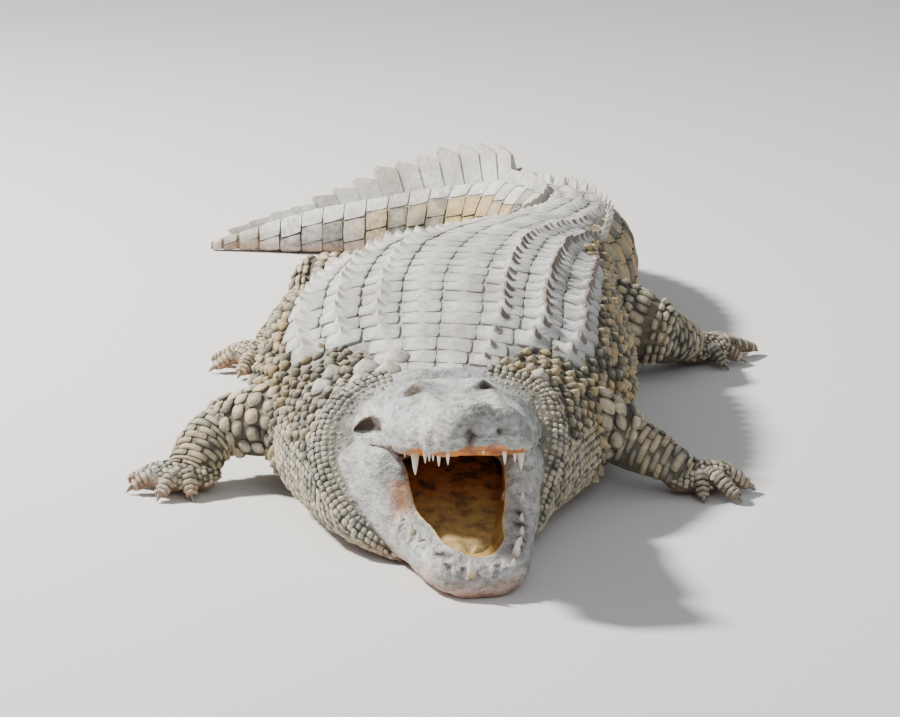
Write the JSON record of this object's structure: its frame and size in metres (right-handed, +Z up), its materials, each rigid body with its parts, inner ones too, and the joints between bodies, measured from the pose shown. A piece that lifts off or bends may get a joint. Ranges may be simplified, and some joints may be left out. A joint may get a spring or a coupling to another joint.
{
  "type": "crocodile",
  "caption": "Life-size still model of an adult Nile crocodile basking on its belly with its jaws open and its tail bent round behind it.",
  "frame": {"origin": "on the floor under the middle of the belly", "axes": "-Y the way the body faces, +X the animal's own left, +Z up"},
  "size_m": [1.3838, 3.2213, 0.3864],
  "materials": {
    "hide_of_body": "matt, scaly",
    "hide_of_head": "matt, finely cracked",
    "mouth_lining": "moist",
    "tooth": "semi-gloss",
    "claw": "satin",
    "eye": "gloss"
  },
  "bodies": {
    "root": {"head_upper": "hide_of_head", "lower_jaw": "hide_of_head", "eye_left": "eye", "eye_right": "eye", "tongue": "mouth_lining", "neck": "hide_of_body", "trunk_front": "hide_of_body", "trunk_rear": "hide_of_body", "tail_1": "hide_of_body", "tail_2": "hide_of_body", "tail_3": "hide_of_body", "tail_4": "hide_of_body", "tail_5": "hide_of_body", "upper_arm_left": "hide_of_body", "upper_arm_right": "hide_of_body", "forearm_left": "hide_of_body", "forearm_right": "hide_of_body", "hand_left": "hide_of_body", "hand_right": "hide_of_body", "thigh_left": "hide_of_body", "thigh_right": "hide_of_body", "shank_left": "hide_of_body", "shank_right": "hide_of_body", "foot_left": "hide_of_body", "foot_right": "hide_of_body"}
  },
  "joints": []
}
